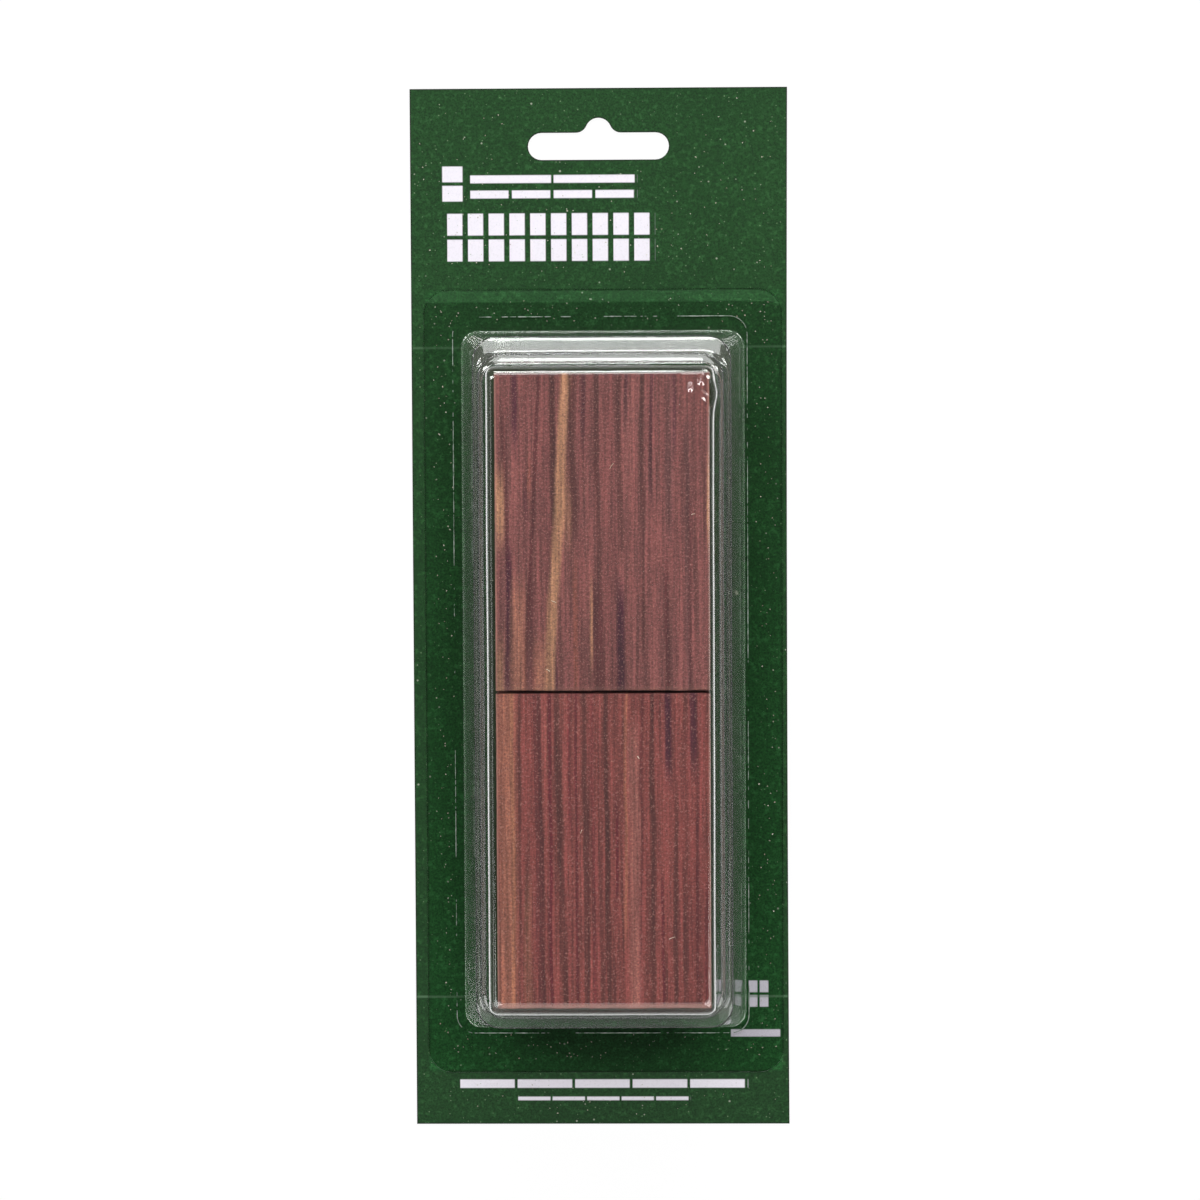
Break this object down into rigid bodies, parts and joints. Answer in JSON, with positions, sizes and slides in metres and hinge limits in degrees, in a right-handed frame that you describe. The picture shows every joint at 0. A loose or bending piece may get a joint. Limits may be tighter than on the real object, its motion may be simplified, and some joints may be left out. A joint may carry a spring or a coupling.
{
  "type": "carded pack of cedar blocks",
  "caption": "Retail pack of plain cedar blocks in two layers under a clear stepped blister, sealed to a green board card with a hang slot.",
  "frame": {"origin": "middle of the card's back, under the middle of the whole pack's box", "axes": "+Z out of the card's face towards the viewer, +Y along the card towards its hanging end, +X to the viewer's right"},
  "size_m": [0.092, 0.2546, 0.0394],
  "materials": {
    "card": "solid board, printed green, satin varnish",
    "clear_sheet": "clear thermoformed sheet, glossy",
    "cedar_striped": "sawn red cedar, unfinished, purple and tan streaks",
    "cedar_red": "sawn red cedar, unfinished, straight fine grain"
  },
  "bodies": {
    "card": {"card": "card"},
    "blister": {"blister": "clear_sheet"},
    "block_front_upper": {"block_front_upper": "cedar_striped"},
    "block_front_lower": {"block_front_lower": "cedar_red"},
    "block_back_upper": {"block_back_upper": "cedar_striped"},
    "block_back_lower": {"block_back_lower": "cedar_red"}
  },
  "joints": [
    {"name": "blister_lift", "type": "slide", "parent": "card", "child": "blister", "axis": [0, 0, 1], "range_m": [0, 0.12]},
    {"name": "front_upper_lift", "type": "slide", "parent": "card", "child": "block_front_upper", "axis": [0, 0, 1], "range_m": [0, 0.072]},
    {"name": "front_lower_lift", "type": "slide", "parent": "card", "child": "block_front_lower", "axis": [0, 0, 1], "range_m": [0, 0.072]},
    {"name": "back_upper_lift", "type": "slide", "parent": "card", "child": "block_back_upper", "axis": [0, 0, 1], "range_m": [0, 0.036]},
    {"name": "back_lower_lift", "type": "slide", "parent": "card", "child": "block_back_lower", "axis": [0, 0, 1], "range_m": [0, 0.036]}
  ],
  "couplings": [
    {"joint": "front_upper_lift", "follows": "blister_lift", "ratio": 0.6},
    {"joint": "front_lower_lift", "follows": "blister_lift", "ratio": 0.6},
    {"joint": "back_upper_lift", "follows": "blister_lift", "ratio": 0.3},
    {"joint": "back_lower_lift", "follows": "blister_lift", "ratio": 0.3}
  ]
}
